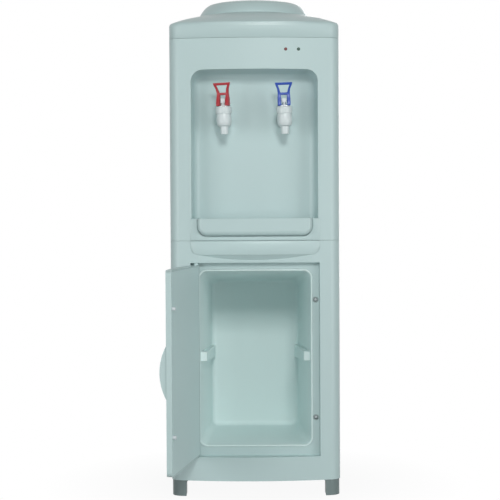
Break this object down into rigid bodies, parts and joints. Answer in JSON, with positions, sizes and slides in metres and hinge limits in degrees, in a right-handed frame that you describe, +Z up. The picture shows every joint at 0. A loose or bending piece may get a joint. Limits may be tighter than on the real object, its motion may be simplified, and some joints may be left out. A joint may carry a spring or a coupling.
{
  "type": "water dispenser",
  "caption": "Floor-standing bottled-water dispenser: bottle collar, hot and cold lever taps over a drip tray, and a storage cabinet with a hinged door.",
  "frame": {"origin": "on the floor under the middle of the body, halfway between its front and back", "axes": "+Z up, the front faces -Y, +X is the viewer's right"},
  "size_m": [0.3272, 0.5514, 0.941],
  "materials": {
    "mint_plastic": "semi-gloss moulded plastic, pale mint grey",
    "cover_plastic": "semi-gloss moulded plastic, pale mint grey",
    "white_plastic": "white moulded plastic",
    "tap_plastic": "white glossy plastic",
    "red_plastic": "red glossy plastic",
    "blue_plastic": "blue glossy plastic",
    "red_lens": "tinted clear plastic",
    "green_lens": "tinted clear plastic",
    "painted_sheet": "powder-coated steel sheet",
    "zinc_sheet": "galvanised steel sheet",
    "stainless": "brushed stainless steel",
    "aluminium": "bare aluminium",
    "foam": "expanded foam",
    "black_plastic": "black moulded plastic",
    "silicone": "milky silicone rubber",
    "black_rubber": "black rubber",
    "board": "lacquered circuit board",
    "ceramic": "white ceramic"
  },
  "bodies": {
    "housing": {"front_feet": "mint_plastic", "rear_feet": "mint_plastic", "base_pan": "zinc_sheet", "right_side_panel": "painted_sheet", "left_side_panel": "painted_sheet", "back_panel": "painted_sheet", "lower_front_panel": "mint_plastic", "upper_front_panel": "mint_plastic", "top_cover": "cover_plastic", "cabinet_liner": "white_plastic", "catch_sockets": "black_plastic", "hot_lamp": "red_lens", "cold_lamp": "green_lens", "lamp_board": "board", "tap_washers": "stainless", "tap_gaskets": "silicone", "tap_nuts": "white_plastic", "cold_tank": "stainless", "cold_tank_foam": "foam", "tank_bracket": "zinc_sheet", "cold_block": "aluminium", "thermoelectric_module": "ceramic", "heat_sink": "aluminium", "fan_frame": "black_plastic", "hot_tank": "stainless", "band_heater": "stainless", "hot_tank_jacket": "foam", "thermostats": "black_plastic", "tank_shelf": "zinc_sheet", "silicone_hoses": "silicone", "drain_spout": "white_plastic", "switch_housings": "black_plastic", "cord_grommet": "black_rubber", "power_board": "board", "hot_tap_body": "tap_plastic", "hot_tap_cap": "tap_plastic", "cold_tap_body": "tap_plastic", "cold_tap_cap": "tap_plastic"},
    "door": {"door_skin": "mint_plastic", "door_inner_panel": "mint_plastic", "door_pegs": "white_plastic", "door_hinge_pins": "stainless"},
    "bottle_seat": {"bottle_seat": "white_plastic"},
    "drip_tray": {"drip_tray": "mint_plastic"},
    "drip_grille": {"drip_grille": "white_plastic"},
    "hot_stem": {"hot_tap_stem": "tap_plastic", "hot_seat_cup": "silicone", "hot_lever_pin": "stainless"},
    "hot_lever": {"hot_tap_lever": "red_plastic"},
    "cold_stem": {"cold_tap_stem": "tap_plastic", "cold_seat_cup": "silicone", "cold_lever_pin": "stainless"},
    "cold_lever": {"cold_tap_lever": "blue_plastic"},
    "fan_rotor": {"fan_rotor": "black_plastic"},
    "hot_rocker": {"hot_switch_rocker": "red_plastic"},
    "cold_rocker": {"cold_switch_rocker": "black_plastic"},
    "drain_cap": {"drain_cap": "white_plastic"}
  },
  "joints": [
    {"name": "door_swing", "type": "hinge", "parent": "housing", "child": "door", "pos_m": [-0.111, -0.14526, 0.257], "axis": [0, 0, -1], "range_deg": [-100, 5]},
    {"name": "bottle_seat_lift", "type": "slide", "parent": "housing", "child": "bottle_seat", "axis": [0, 0, 1], "range_m": [0, 0.12]},
    {"name": "drip_tray_pull", "type": "slide", "parent": "housing", "child": "drip_tray", "axis": [0, -1, 0], "range_m": [0, 0.075]},
    {"name": "drip_grille_lift", "type": "slide", "parent": "drip_tray", "child": "drip_grille", "axis": [0, 0, 1], "range_m": [0, 0.04]},
    {"name": "fan_spin", "type": "hinge", "parent": "housing", "child": "fan_rotor", "pos_m": [0, 0.11332, 0.77], "axis": [0, 1, 0], "continuous": true},
    {"name": "drain_cap_pull", "type": "slide", "parent": "housing", "child": "drain_cap", "axis": [0, 1, 0], "range_m": [0, 0.03]},
    {"name": "hot_stem_lift", "type": "slide", "parent": "housing", "child": "hot_stem", "axis": [-0.0349, 0, 0.9994], "range_m": [0, 0.0039]},
    {"name": "hot_lever_press", "type": "hinge", "parent": "hot_stem", "child": "hot_lever", "pos_m": [-0.05834, -0.146, 0.74638], "axis": [0.9607, -0.2756, 0.0335], "range_deg": [0, 25], "stiffness_Nm_per_rad": 0.3, "springref_deg": -1.72},
    {"name": "cold_stem_lift", "type": "slide", "parent": "housing", "child": "cold_stem", "axis": [-0.0349, 0, 0.9994], "range_m": [0, 0.0039]},
    {"name": "cold_lever_press", "type": "hinge", "parent": "cold_stem", "child": "cold_lever", "pos_m": [0.05566, -0.146, 0.74638], "axis": [0.9988, 0.0349, 0.0349], "range_deg": [0, 25], "stiffness_Nm_per_rad": 0.3, "springref_deg": -1.72},
    {"name": "hot_rocker_tip", "type": "hinge", "parent": "housing", "child": "hot_rocker", "pos_m": [0.062, 0.1553, 0.6], "axis": [1, 0, 0], "range_deg": [0, 16]},
    {"name": "cold_rocker_tip", "type": "hinge", "parent": "housing", "child": "cold_rocker", "pos_m": [0.098, 0.1553, 0.6], "axis": [1, 0, 0], "range_deg": [0, 16]}
  ],
  "couplings": [
    {"joint": "hot_lever_press", "follows": "hot_stem_lift", "rad_per_m": 111.11},
    {"joint": "cold_lever_press", "follows": "cold_stem_lift", "rad_per_m": 111.11}
  ]
}
